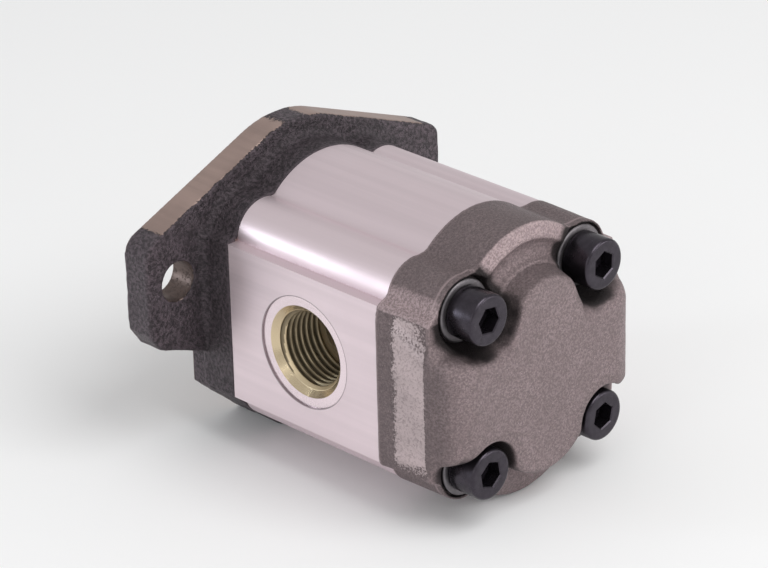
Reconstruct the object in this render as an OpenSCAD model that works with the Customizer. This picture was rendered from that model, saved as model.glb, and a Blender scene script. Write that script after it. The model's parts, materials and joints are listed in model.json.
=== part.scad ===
// Hydraulic gear pump, external gear type, in three bolted sections.
// Millimetres. The origin is where the shaft axis meets the mounting face.
// The splined shaft end points to -Y, the rear cover to +Y, the inlet port
// to +X and the outlet port to -X. The driven gear lies below the drive gear.

/* [Gears] */
// Teeth on each gear
gear_teeth = 12; // [12:1:12]
// Distance between the two shaft axes
centre_distance = 22; // [21.8:0.1:22.2]
// Width of the gear teeth along the shaft
gear_width = 26; // [22:1:28]
// Diameter of the shaft journals
journal_d = 14; // [13.6:0.1:14]
// Tooth thickness taken off at the pitch circle for backlash
backlash = 0.1; // [0.05:0.05:0.2]

/* [Pump body] */
// Length of the aluminium body between the two castings
body_len = 50.8; // [50:0.1:54]
// Half width across the two port faces
body_half_w = 32.7; // [32.5:0.1:34]
// Radius of the large lobe around each gear bore
lobe_r = 24.4; // [24.2:0.1:24.8]
// Radius of the small lobe around each screw
screw_lobe_r = 8.9; // [8.6:0.1:9]
// Height of each port face above and below the port axis
port_face_half_h = 20.9; // [20.5:0.1:21.2]

/* [Ports] */
// Thread major diameter of the inlet, G 1/2
inlet_thread_d = 20.96; // [20.8:0.01:21]
// Spot face diameter around the inlet
inlet_face_d = 29; // [28:0.2:30]
// Thread major diameter of the outlet, G 3/8
outlet_thread_d = 16.66; // [16.5:0.01:16.8]
// Spot face diameter around the outlet
outlet_face_d = 24; // [23:0.5:26]
// Depth of both port threads below the port face
port_thread_len = 14.6; // [13:0.1:15]

/* [Front flange] */
// Thickness of the mounting plate
plate_t = 7.8; // [7:0.1:9]
// Depth of the whole casting behind the mounting face
flange_depth = 17; // [17:0.1:18]
// Distance between the two mounting holes, SAE A-A
ear_spacing = 82.55; // [82.5:0.01:82.6]
// Diameter of the mounting holes
ear_hole_d = 10.3; // [10:0.1:11]
// Half width of the plate across the ears
ear_half_w = 51.3; // [50.5:0.1:52]
// Pilot diameter, SAE A-A
pilot_d = 50.8; // [50.6:0.1:50.8]
// Pilot height above the mounting face
pilot_h = 4.8; // [4.4:0.1:5]

/* [Rear cover] */
// Thickness under the screw heads
cover_seat_t = 14.7; // [14:0.1:15]
// Thickness through the raised dome
cover_t = 24.8; // [24:0.1:26]
// How far the castings stand proud of the body outline
cast_proud = 0.2; // [0.1:0.1:0.4]
// Radius where the dome rolls over to its sides
dome_edge_r = 7; // [6:0.5:9]

/* [Screws] */
// Thread diameter of the through screws
screw_d = 8; // [8:0.1:8]
// Screw spacing across the pump
screw_pitch_x = 40.3; // [40:0.1:40.6]
// Screw spacing up the pump
screw_pitch_z = 40.8; // [40.5:0.1:41]
// Length of each screw under its head
screw_len = 75; // [74:1:76]
// Washer diameter
washer_d = 15.8; // [15.6:0.1:16]

/* [Shaft end] */
// Length of shaft beyond the mounting face
shaft_end_len = 23; // [21:0.1:25]
// Teeth on the spline, 20/40 diametral pitch
spline_teeth = 9; // [9:1:9]
// Outside diameter of the spline
spline_d = 12.4; // [12.2:0.1:12.6]

/* [Hidden] */
$fn = 96;
run_gap = 0.05;                                    // clearance of the moving fits
mid_z = -centre_distance / 2;                      // height of the port axis
body_y0 = flange_depth;
body_y1 = body_y0 + body_len;
port_y = (body_y0 + body_y1) / 2;
seat_y = body_y1 + cover_seat_t;
cover_y1 = body_y1 + cover_t;
rim_y = seat_y + 1.6;                              // top of the cover's low part
floor_z = -centre_distance - lobe_r - cast_proud;  // what the pump stands on

pitch_r = centre_distance / 2;
gear_module = 2 * pitch_r / gear_teeth;
pressure_angle = 25;
base_r = pitch_r * cos(pressure_angle);
tip_r = pitch_r + 0.99 * gear_module;
root_r = pitch_r - 1.25 * gear_module;
chamber_r = tip_r + run_gap;
block_r = chamber_r - run_gap;
gear_y0 = port_y - gear_width / 2;
gear_y1 = port_y + gear_width / 2;
bush_r = journal_d / 2 + 1;

seal_bore_r = 14;
seal_y0 = -1.9;
seal_y1 = 5.1;
ring_t = 1.2;
body_seal_r0 = 13.9;
body_seal_r1 = 15.7;
body_seal_depth = 1.5;
balance_depth = 2;
balance_r0 = bush_r + 0.9;
balance_r1 = balance_r0 + 1.2;
backup_r1 = balance_r1 + 0.7;
washer_t = 1.6;
head_d = 13;
head_h = 8;
socket_af = 6;
socket_depth = 4;
dowel_r = 2.5;
dowel_len = 8;
dowel_places = [[26, 2], [-26, -24]];
lobe_c = [screw_pitch_x / 2 + 0.45, mid_z + screw_pitch_z / 2];
screw_places = [for (sx = [-1, 1], sz = [-1, 1])
    [sx * screw_pitch_x / 2, mid_z + sz * screw_pitch_z / 2]];

// ---- placing helpers ----

// A flat X-Z outline made solid from y0 to y1.
module along_y(y0, y1) {
    translate([0, y1, 0]) rotate([90, 0, 0]) linear_extrude(y1 - y0) children();
}

// A cylinder along Y.
module rod(x, z, y0, y1, r) {
    along_y(y0, y1) translate([x, z]) circle(r);
}

// A turned shape around the shaft axis, from [radius, y] points.
module turned(points) {
    rotate([-90, 0, 0]) rotate_extrude() polygon([for (p = points) [p[0], p[1]]]);
}

module mirrored_x() {
    children();
    mirror([1, 0]) children();
}

function polar(r, a) = [r * cos(a), r * sin(a)];
function arc(centre, r, a0, a1, steps) =
    [for (i = [0:steps]) centre + polar(r, a0 + (a1 - a0) * i / steps)];

// ---- outlines in the X-Z plane ----

// Fills the notch between two circles with an arc that touches both.
module blend_notch(c1, r1, c2, r2, r) {
    d = norm(c2 - c1);
    along = (pow(r1 + r, 2) - pow(r2 + r, 2) + d * d) / (2 * d);
    up = sqrt(pow(r1 + r, 2) - along * along);
    dir = (c2 - c1) / d;
    side = [-dir[1], dir[0]];
    centre = c1 + along * dir + up * side;
    difference() {
        polygon([c1, c2, centre]);
        translate(centre) circle(r);
    }
}

// Upper half of the body outline: gear lobe, two screw lobes and the port faces.
module half_outline(grow) {
    circle(lobe_r + grow);
    mirrored_x() {
        translate(lobe_c) circle(screw_lobe_r + grow);
        blend_notch([0, 0], lobe_r + grow, lobe_c, screw_lobe_r + grow, 2.4);
    }
    translate([-body_half_w - grow, mid_z - 1])
        square([2 * (body_half_w + grow), port_face_half_h + 1 + grow]);
}

module pump_outline(grow) {
    half_outline(grow);
    translate([0, 2 * mid_z]) mirror([0, 1]) half_outline(grow);
}

// Two equal circles on the shaft axes.
module gear_pair_circles(r) {
    circle(r);
    translate([0, -centre_distance]) circle(r);
}

// A slot-shaped area around both shaft axes.
module oval(r) {
    gear_pair_circles(r);
    translate([-r, -centre_distance]) square([2 * r, centre_distance]);
}

module oval_ring(r0, r1) {
    difference() {
        oval(r1);
        oval(r0);
    }
}

// The 3-shaped track of the pressure balance seal, open to the outlet side.
module balance_track(r0, r1) {
    intersection() {
        difference() {
            gear_pair_circles(r1);
            gear_pair_circles(r0);
        }
        translate([0, -50]) square([50, 100]);
    }
}

// The foot under the flange: a flat pad level with the lowest lobe.
module foot_outline() {
    polygon([[-31, -33], [-31, -33.6], [-16.3, floor_z], [16.3, floor_z], [31, -33.6], [31, -33]]);
}

// ---- front flange ----

ear_top_slope = 21.8;
ear_low_slope = 21.3;
plate_top_r = 29.9;
plate_low_r = 32.8;
ear_corner_r = 5;
plate_low_half_w = 31;

// Half of the mounting plate above the foot, from the top round the ear.
function plate_half() =
    let (xc = ear_half_w - ear_corner_r,
         zc = (plate_top_r - ear_corner_r - xc * sin(ear_top_slope)) / cos(ear_top_slope),
         low = function (x) (x * sin(ear_low_slope) - plate_low_r) / cos(ear_low_slope))
    concat(
        arc([0, 0], plate_top_r, 90, 90 - ear_top_slope, 8),
        arc([xc, zc], ear_corner_r, 90 - ear_top_slope, 0, 8),
        [[ear_half_w, -11.6],
         [ear_half_w - 3.1, low(ear_half_w - 3.1)],
         [plate_low_half_w, low(plate_low_half_w)],
         [plate_low_half_w, -33],
         [0, -33]]);

module plate_outline() {
    mirrored_x() {
        polygon(plate_half());
    }
    foot_outline();
}

module front_flange() {
    bottom_y = 7;
    color("#5b534f") difference() {
        union() {
            along_y(0, plate_t) plate_outline();
            along_y(plate_t - 1, flange_depth) {
                pump_outline(cast_proud);
                foot_outline();
            }
            turned([[0, plate_t], [pilot_d / 2, plate_t], [pilot_d / 2, 0.8 - pilot_h],
                [pilot_d / 2 - 0.8, -pilot_h], [0, -pilot_h]]);
        }
        for (s = [-1, 1]) rod(s * ear_spacing / 2, 0, -1, plate_t + 1, ear_hole_d / 2);
        for (p = screw_places) rod(p[0], p[1], bottom_y, flange_depth + 1, screw_d / 2 + run_gap);
        for (p = dowel_places) rod(p[0], p[1], flange_depth - dowel_len / 2, flange_depth + 1, dowel_r);
        rod(0, 0, seal_y1 - 1, flange_depth + 1, journal_d / 2 + 0.8);
        rod(0, 0, -pilot_h - 1, seal_y1, seal_bore_r);
        rod(0, 0, seal_y0 - ring_t - 0.1, seal_y0, seal_bore_r + 0.7);
        rod(0, -centre_distance, flange_depth - 2, flange_depth + 1, journal_d / 2 + 0.3);
        along_y(flange_depth - body_seal_depth, flange_depth + 1)
            oval_ring(body_seal_r0, body_seal_r1);
    }
}

// ---- pump body ----

// A threaded port along +X: spot face, countersink, thread bore and gallery.
module port_cut(thread_d, face_d, gallery_d) {
    face_depth = 0.5;
    sink = 1.5;
    x_face = body_half_w - face_depth;
    translate([0, port_y, mid_z]) rotate([0, 90, 0]) {
        translate([0, 0, x_face]) cylinder(h = 2, r = face_d / 2);
        translate([0, 0, x_face - sink]) cylinder(h = sink, r1 = thread_d / 2, r2 = thread_d / 2 + sink);
        translate([0, 0, body_half_w - port_thread_len]) cylinder(h = port_thread_len, r = thread_d / 2);
        translate([0, 0, 4]) cylinder(h = body_half_w - 5, r = gallery_d / 2);
    }
}

module pump_body() {
    color("#cfc6c8") difference() {
        along_y(body_y0, body_y1) pump_outline(0);
        for (z = [0, -centre_distance]) rod(0, z, body_y0 - 1, body_y1 + 1, chamber_r);
        port_cut(inlet_thread_d, inlet_face_d, 15);
        mirror([1, 0, 0]) port_cut(outlet_thread_d, outlet_face_d, 12);
        for (p = screw_places) rod(p[0], p[1], body_y0 - 1, body_y1 + 1, screw_d / 2 + 0.3);
        for (p = dowel_places) {
            rod(p[0], p[1], body_y0 - 1, body_y0 + dowel_len / 2, dowel_r);
            rod(p[0], p[1], body_y1 - dowel_len / 2, body_y1 + 1, dowel_r);
        }
    }
}

// ---- rear cover ----

// Raised middle of the cover, seen from behind.
module dome_outline() {
    circle(13.9);
    translate([0, -centre_distance]) circle(16.5);
    translate([-body_half_w - cast_proud, mid_z - 16.7])
        square([2 * (body_half_w + cast_proud), 27]);
}

// The dome's sides, seen from above: square at the joint, rolled over behind.
module dome_plan() {
    w = body_half_w + cast_proud;
    xc = w - dome_edge_r;
    yc = cover_y1 - dome_edge_r;
    translate([-w, body_y1]) square([2 * w, yc - body_y1]);
    translate([-xc, body_y1]) square([2 * xc, cover_t]);
    for (s = [-1, 1]) translate([s * xc, yc]) circle(dome_edge_r);
}

module rear_cover() {
    color("#8d8078") difference() {
        union() {
            along_y(body_y1, rim_y) pump_outline(cast_proud);
            intersection() {
                along_y(rim_y - 1, cover_y1) dome_outline();
                translate([0, 0, -60]) linear_extrude(100) dome_plan();
            }
        }
        for (p = screw_places) {
            flare = p[1] > mid_z ? 1.4 : -0.3;
            along_y(seat_y, cover_y1 + 1) translate(p) circle(washer_d / 2 + 0.7);
            translate([p[0], rim_y, p[1]]) rotate([-90, 0, 0])
                cylinder(h = cover_y1 - rim_y + 0.1, r1 = washer_d / 2 + 0.9, r2 = washer_d / 2 + 0.9 + flare);
            rod(p[0], p[1], body_y1 - 1, seat_y + 1, screw_d / 2 + 0.3);
        }
        for (p = dowel_places) rod(p[0], p[1], body_y1 - 1, body_y1 + dowel_len / 2, dowel_r);
        for (z = [0, -centre_distance]) rod(0, z, body_y1 - 1, body_y1 + 2, journal_d / 2 + 0.3);
        along_y(body_y1 - 1, body_y1 + body_seal_depth) oval_ring(body_seal_r0, body_seal_r1);
    }
}

// ---- gears and shafts ----

function involute(a) = tan(a) * 180 / PI - a;

// Half the angle that a tooth fills at radius r.
function half_tooth(r) =
    let (at_pitch = (PI * gear_module / 2 - backlash) / (2 * pitch_r) * 180 / PI)
    at_pitch + involute(pressure_angle) - involute(acos(min(1, base_r / r)));

// One tooth, root to tip and back, centred on the angle a.
function tooth(a, steps = 6) =
    let (radii = [for (i = [0:steps]) base_r + (tip_r - base_r) * i / steps])
    concat(
        [polar(root_r, a - half_tooth(base_r) - 1)],
        [for (r = radii) polar(r, a - half_tooth(r))],
        [for (i = [0:steps]) polar(radii[steps - i], a + half_tooth(radii[steps - i]))],
        [polar(root_r, a + half_tooth(base_r) + 1)]);

module gear_outline(turn) {
    polygon([for (i = [0:gear_teeth - 1]) each tooth(turn + i * 360 / gear_teeth)]);
}

module spline_outline() {
    root = spline_d / 2 - 1.15;
    step = 360 / spline_teeth;
    polygon([for (i = [0:spline_teeth - 1], p = [[root, -0.34], [spline_d / 2, -0.15],
        [spline_d / 2, 0.15], [root, 0.34]]) polar(p[0], (i + p[1]) * step)]);
}

module drive_gear_shaft() {
    r = journal_d / 2;
    shoulder_y = -6;
    end_r = spline_d / 2;
    color("#8f9296") {
        along_y(gear_y0, gear_y1) gear_outline(0);
        turned([[0, gear_y1], [0, body_y1 - 0.6], [r - 0.6, body_y1 - 0.6], [r, body_y1 - 1.2],
            [r, gear_y1]]);
        turned([[0, gear_y0], [r, gear_y0], [r, shoulder_y + 0.6], [r - 0.6, shoulder_y],
            [0, shoulder_y]]);
        intersection() {
            along_y(-shaft_end_len, shoulder_y) spline_outline();
            turned([[0, shoulder_y], [end_r + 1, shoulder_y], [end_r + 1, 1.6 - shaft_end_len],
                [end_r - 1, -shaft_end_len], [0, -shaft_end_len]]);
        }
    }
}

module driven_gear_shaft() {
    r = journal_d / 2;
    color("#96999d") translate([0, 0, -centre_distance]) {
        along_y(gear_y0, gear_y1) gear_outline(180 / gear_teeth);
        turned([[0, gear_y1], [0, body_y1 - 0.6], [r - 0.6, body_y1 - 0.6], [r, body_y1 - 1.2],
            [r, gear_y1]]);
        turned([[0, gear_y0], [r, gear_y0], [r, body_y0 + 1.2], [r - 0.6, body_y0 + 0.6],
            [0, body_y0 + 0.6]]);
    }
}

// ---- bearing blocks, bushes and balance seals ----

// One spectacle-shaped block from y0 to y1, with its seal groove cut from groove_y0 to groove_y1.
module bearing_block(y0, y1, groove_y0, groove_y1) {
    difference() {
        along_y(y0, y1) gear_pair_circles(block_r - 0.02);
        for (z = [0, -centre_distance]) rod(0, z, y0 - 1, y1 + 1, bush_r);
        along_y(groove_y0, groove_y1) mirror([1, 0]) balance_track(balance_r0, backup_r1);
    }
}

front_block_y = [body_y0 + run_gap, gear_y0 - run_gap];
rear_block_y = [gear_y1 + run_gap, body_y1 - run_gap];

module front_bearing_block() {
    color("#b9b2a2") bearing_block(front_block_y[0], front_block_y[1],
        front_block_y[0] - 1, front_block_y[0] + balance_depth);
}

module rear_bearing_block() {
    color("#b9b2a2") bearing_block(rear_block_y[0], rear_block_y[1],
        rear_block_y[1] - balance_depth, rear_block_y[1] + 1);
}

module bush(z, block_y) {
    inset = 0.4;
    color("#9a6f3c") along_y(block_y[0] + inset, block_y[1] - inset) translate([0, z]) difference() {
        circle(bush_r);
        circle(journal_d / 2 + 0.03);
    }
}

module front_drive_bush() { bush(0, front_block_y); }
module front_driven_bush() { bush(-centre_distance, front_block_y); }
module rear_drive_bush() { bush(0, rear_block_y); }
module rear_driven_bush() { bush(-centre_distance, rear_block_y); }

module front_balance_seal() {
    color("#1f2022") along_y(body_y0, front_block_y[0] + balance_depth)
        mirror([1, 0]) balance_track(balance_r0, balance_r1);
}

module rear_balance_seal() {
    color("#1f2022") along_y(rear_block_y[1] - balance_depth, body_y1)
        mirror([1, 0]) balance_track(balance_r0, balance_r1);
}

module front_backup_strip() {
    color("#e8e4da") along_y(body_y0, front_block_y[0] + balance_depth)
        mirror([1, 0]) balance_track(balance_r1, backup_r1);
}

module rear_backup_strip() {
    color("#e8e4da") along_y(rear_block_y[1] - balance_depth, body_y1)
        mirror([1, 0]) balance_track(balance_r1, backup_r1);
}

// ---- body seals ----

module front_body_seal() {
    color("#26272a") along_y(body_y0 - body_seal_depth, body_y0)
        oval_ring(body_seal_r0, body_seal_r1);
}

module rear_body_seal() {
    color("#26272a") along_y(body_y1, body_y1 + body_seal_depth)
        oval_ring(body_seal_r0, body_seal_r1);
}

// ---- shaft seal ----

module shaft_seal_case() {
    color("#9aa0a4") turned([[seal_bore_r, seal_y0], [seal_bore_r, seal_y1],
        [seal_bore_r - 0.9, seal_y1], [seal_bore_r - 0.9, seal_y0 + 0.9],
        [journal_d / 2 + 2, seal_y0 + 0.9], [journal_d / 2 + 2, seal_y0]]);
}

module shaft_seal_lip() {
    lip_r = journal_d / 2 + run_gap;
    color("#2b2c2e") turned([[lip_r + 2.8, seal_y0 + 0.9], [seal_bore_r - 0.9, seal_y0 + 0.9],
        [seal_bore_r - 0.9, seal_y0 + 2.4], [lip_r + 2.6, seal_y0 + 2.4],
        [lip_r + 1.5, seal_y0 + 4], [lip_r + 1.5, seal_y0 + 6], [lip_r, seal_y0 + 4.9],
        [lip_r + 0.7, seal_y0 + 2.4], [lip_r + 1.3, seal_y0 + 1.2]]);
}

module garter_spring() {
    coil_r = 0.6;
    color("#b8bcc0") translate([0, seal_y0 + 5, 0]) rotate([-90, 0, 0])
        rotate_extrude() translate([journal_d / 2 + run_gap + 1.5 + coil_r, 0]) circle(coil_r, $fn = 24);
}

// Internal retaining ring: a C with two drilled lugs.
module retaining_ring() {
    gap_half = 14;
    outer_r = seal_bore_r + 0.65;
    inner_r = outer_r - 2.2;
    color("#6d7073") along_y(seal_y0 - ring_t, seal_y0) difference() {
        union() {
            difference() {
                circle(outer_r);
                circle(inner_r);
                polygon([[0, 0], polar(40, 90 - gap_half), [0, 60], polar(40, 90 + gap_half)]);
            }
            for (s = [-1, 1]) translate(polar(inner_r - 0.2, 90 + s * (gap_half + 7))) circle(1.9);
        }
        for (s = [-1, 1]) translate(polar(inner_r - 0.2, 90 + s * (gap_half + 7))) circle(0.9);
    }
}

// ---- fasteners ----

module cover_screws() {
    under_head = seat_y + washer_t;
    color("#2c2a2d") for (p = screw_places) translate([p[0], under_head, p[1]]) rotate([-90, 0, 0])
        difference() {
            union() {
                translate([0, 0, -screw_len]) cylinder(h = screw_len, r = screw_d / 2);
                cylinder(h = head_h - 0.5, r = head_d / 2);
                translate([0, 0, head_h - 0.5]) cylinder(h = 0.5, r1 = head_d / 2, r2 = head_d / 2 - 0.5);
            }
            translate([0, 0, head_h - socket_depth])
                cylinder(h = socket_depth + 1, r = socket_af / 2 / cos(30), $fn = 6);
        }
}

module screw_washers() {
    color("#7c7a7e") along_y(seat_y, seat_y + washer_t) for (p = screw_places)
        translate(p) difference() {
            circle(washer_d / 2);
            circle(screw_d / 2 + 0.2);
        }
}

module dowel_sleeves() {
    color("#a3a7ab") for (y = [body_y0, body_y1], p = dowel_places)
        along_y(y - dowel_len / 2, y + dowel_len / 2) translate(p) difference() {
            circle(dowel_r);
            circle(dowel_r - 1);
        }
}

front_flange();
pump_body();
rear_cover();
drive_gear_shaft();
driven_gear_shaft();
front_bearing_block();
rear_bearing_block();
front_drive_bush();
front_driven_bush();
rear_drive_bush();
rear_driven_bush();
front_balance_seal();
rear_balance_seal();
front_backup_strip();
rear_backup_strip();
front_body_seal();
rear_body_seal();
shaft_seal_case();
shaft_seal_lip();
garter_spring();
retaining_ring();
cover_screws();
screw_washers();
dowel_sleeves();
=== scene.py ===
"""Looks of the hydraulic gear pump: two iron castings, the extruded body, port threads, screws and finishes.

The castings are worked out as distance fields, as a pattern maker blends one form into the next, and then
meshed. Sizes in the modelling functions are millimetres in the frame's own axes: X through the ports,
-Y out of the shaft end, +Y to the rear cover, Z up. Meshes are handed to Blender in metres.
"""

import json
import math

import bpy
import numpy as np
from bpy.props import FloatProperty, FloatVectorProperty, IntProperty, PointerProperty
from mathutils import Matrix, Vector


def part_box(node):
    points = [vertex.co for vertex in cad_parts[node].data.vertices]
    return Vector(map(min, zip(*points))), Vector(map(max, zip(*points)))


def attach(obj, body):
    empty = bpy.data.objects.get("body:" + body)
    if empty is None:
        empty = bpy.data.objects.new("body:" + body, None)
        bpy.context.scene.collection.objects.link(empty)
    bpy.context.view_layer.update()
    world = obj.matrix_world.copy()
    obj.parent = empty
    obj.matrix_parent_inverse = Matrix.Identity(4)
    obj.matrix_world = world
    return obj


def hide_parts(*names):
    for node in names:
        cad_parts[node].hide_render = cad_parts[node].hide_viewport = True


bl_info = {
    "name": "Hydraulic Gear Pump",
    "version": (1, 0, 0),
    "blender": (4, 5, 0),
    "location": "3D View > Sidebar > Gear Pump",
    "description": "Builds the castings, body, port threads, screws and finishes of a gear pump",
    "category": "Add Mesh",
}

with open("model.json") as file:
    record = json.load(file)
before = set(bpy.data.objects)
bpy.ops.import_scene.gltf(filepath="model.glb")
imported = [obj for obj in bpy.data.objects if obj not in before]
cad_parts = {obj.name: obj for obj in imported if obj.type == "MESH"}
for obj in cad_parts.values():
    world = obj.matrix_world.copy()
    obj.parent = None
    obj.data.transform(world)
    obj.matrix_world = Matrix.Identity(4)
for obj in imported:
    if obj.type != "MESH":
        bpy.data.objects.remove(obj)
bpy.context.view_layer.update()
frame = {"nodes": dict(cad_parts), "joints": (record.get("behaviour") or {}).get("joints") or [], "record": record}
MM = 0.001


def node_span(node):
    """Lowest and highest corner of a CAD node, in millimetres."""
    low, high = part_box(node)
    return np.array(low) / MM, np.array(high) / MM


def mount_named(name):
    """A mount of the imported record."""
    return next(m for m in frame["record"]["mounts"] if m["name"] == name)


# ---------------------------------------------------------------------------
# Sizes read from the frame, in millimetres
# ---------------------------------------------------------------------------

FLANGE_LOW, FLANGE_HIGH = node_span("front_flange")
BODY_LOW, BODY_HIGH = node_span("pump_body")
COVER_LOW, COVER_HIGH = node_span("rear_cover")
SCREWS_LOW, SCREWS_HIGH = node_span("cover_screws")
WASHERS_LOW, WASHERS_HIGH = node_span("screw_washers")

FLOOR_Z = FLANGE_LOW[2]
PILOT_Y = FLANGE_LOW[1]
JOINT_Y = BODY_LOW[1]
COVER_Y = BODY_HIGH[1]
DOME_Y = COVER_HIGH[1]
SEAT_Y = WASHERS_LOW[1]
UNDER_HEAD_Y = WASHERS_HIGH[1]
HEAD_Y = SCREWS_HIGH[1]
EAR_X = FLANGE_HIGH[0]
BODY_X = BODY_HIGH[0]
CAST_PROUD = COVER_HIGH[0] - BODY_X
GEAR_Z = next(j for j in frame["joints"] if j["name"] == "driven_spin")["pos_m"][2] / MM
MID_Z = GEAR_Z / 2
LOBE_R = BODY_HIGH[2]
HEAD_R = 6.5
WASHER_R = (WASHERS_HIGH[0] - SCREWS_HIGH[0]) + HEAD_R
SCREW_X = SCREWS_HIGH[0] - HEAD_R
SCREW_Z = SCREWS_HIGH[2] - HEAD_R
SCREW_PLACES = [(sx * SCREW_X, MID_Z + sz * (SCREW_Z - MID_Z)) for sx in (-1, 1) for sz in (-1, 1)]
PILOT_R = mount_named("pilot")["dims"]["r_mm"]
EAR_HOLE_X = mount_named("flange_bolts")["dims"]["spacing_x_mm"] / 2
EAR_HOLE_R = mount_named("flange_bolts")["dims"]["hole_r_mm"]
PORT_Y = mount_named("inlet_port")["pos_m"][1] / MM
INLET_R = mount_named("inlet_port")["dims"]["r_mm"]
OUTLET_R = mount_named("outlet_port")["dims"]["r_mm"]

# Sizes that the frame doesn't state. A normal is the angle at which a straight edge faces, in degrees.
PLATE_T = 7.8
PLATE_TOP_R = FLANGE_HIGH[2]
TOP_NORMAL = 68.2
LOW_NORMAL = -68.7
PLATE_LOW_R = 32.8
PLATE_LOW_X = 31.0
EAR_LOW_Z = -11.6
FOOT_X = 16.3
FOOT_NORMAL = -48.5
BLOCK_FOOT_Z = -32.8
SEAL_BORE_R = 14.0
SEAL_BORE_Y = 5.1
RING_GROOVE_R = 14.7
RING_GROOVE_Y = -2.5
PASSAGE_R = 7.8
JOURNAL_R = 7.3
JOURNAL_DEPTH = 2
TAPPED_R = 4.05
TAPPED_Y = 7
CLEARANCE_R = 4.3
PORT_FACE_HALF_H = 20.9
LEDGE_NORMAL = 66
SCREW_LOBE_R = 8.9
LOBE_X = SCREW_X + 0.45
LOBE_Z = SCREW_Z
NOTCH_R = 2.4
RIM_Y = SEAT_Y + 1.6
DRIVE_NOSE_R = 12.9
DRIVEN_NOSE_R = 16.0
RIDGE_R = 14.9
GROOVE_R = 18.0
GROOVE_W = 3.2
DOME_TOP_Z = -1.2
DOME_LOW_Z = -25.4
POCKET_WALL = 0.7
PATCH_TOP_Y = 83.7
CHAMBER_R = 12.865
SPOT_FACE_DEPTH = 0.5
INLET_FACE_R = 14.5
OUTLET_FACE_R = 12.0
INLET_GALLERY_R = 7.5
OUTLET_GALLERY_R = 6.0
SINK = 1.5
THREAD_LEN = 14.6
INCH = 25.4
BORE_STEPS = 128


# ---------------------------------------------------------------------------
# Distance fields
# ---------------------------------------------------------------------------

def round_max(a, b, r):
    """Where two shapes overlap, with their shared edge rounded to radius r."""
    outside = np.sqrt(np.maximum(a + r, 0) ** 2 + np.maximum(b + r, 0) ** 2)
    return np.minimum(np.maximum(a, b), -r) + outside


def round_min(a, b, r):
    """Two shapes joined, with a fillet of radius r between them."""
    inside = np.sqrt(np.maximum(r - a, 0) ** 2 + np.maximum(r - b, 0) ** 2)
    return np.maximum(np.minimum(a, b), r) - inside


def cut(a, b, r):
    """Shape a with b taken away, and the new edge broken to radius r."""
    return round_max(a, -b, r)


def corner(a, b, turn, r):
    """Two straight sides that meet in a corner of radius r, where the outline turns by that many degrees."""
    c = math.cos(math.radians(turn))
    p, q = a + r, b + r
    arc = np.sqrt(np.maximum(p * p + q * q - 2 * c * p * q, 0)) / math.sqrt(1 - c * c) - r
    return np.where((p > c * q) & (q > c * p), arc, np.maximum(a, b))


def circle(x, z, cx, cz, r):
    """Distance to a circle about (cx, cz)."""
    return np.hypot(x - cx, z - cz) - r


def half_plane(x, z, px, pz, angle):
    """Distance past a line through (px, pz), whose outward normal stands at that angle in degrees."""
    a = math.radians(angle)
    return (x - px) * math.cos(a) + (z - pz) * math.sin(a)


def pump_outline(x, z):
    """Distance to the outline of both castings, whose ledges slope down to the side faces."""
    x = np.abs(x)
    z = np.abs(z - MID_Z) + MID_Z
    lobes = round_min(circle(x, z, 0, 0, LOBE_R), circle(x, z, LOBE_X, LOBE_Z, SCREW_LOBE_R), NOTCH_R)
    ledge = half_plane(x, z, BODY_X, MID_Z + PORT_FACE_HALF_H, LEDGE_NORMAL)
    ports = corner(x - BODY_X, ledge, LEDGE_NORMAL, 0.8)
    return round_min(lobes, np.maximum(ports, z - 14), 1.0)


def foot_outline(x, z, top):
    """The lower part of the flange, narrowing to a flat foot."""
    ax = np.abs(x)
    foot = round_max(FLOOR_Z - z, half_plane(ax, z, FOOT_X, FLOOR_Z, FOOT_NORMAL), 1.2)
    return np.maximum(corner(foot, ax - PLATE_LOW_X, -FOOT_NORMAL, 1.0), z - top)


def plate_outline(x, z):
    """The mounting plate: a rounded top, two ears and a narrower lower part."""
    ax = np.abs(x)
    top = corner(half_plane(ax, z, 0, 0, TOP_NORMAL), half_plane(-ax, z, 0, 0, TOP_NORMAL),
                 180 - 2 * TOP_NORMAL, 0) - PLATE_TOP_R
    ears = corner(top, ax - EAR_X, TOP_NORMAL, 5.0)
    ears = corner(ears, half_plane(ax, z, 0, 0, LOW_NORMAL) - PLATE_LOW_R, -LOW_NORMAL, 1.2)
    ears = corner(ears, half_plane(ax, z, EAR_X, EAR_LOW_Z, LOW_NORMAL / 2), -LOW_NORMAL / 2, 1.5)
    return round_min(ears, foot_outline(x, z, 0), 1.2)


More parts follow.
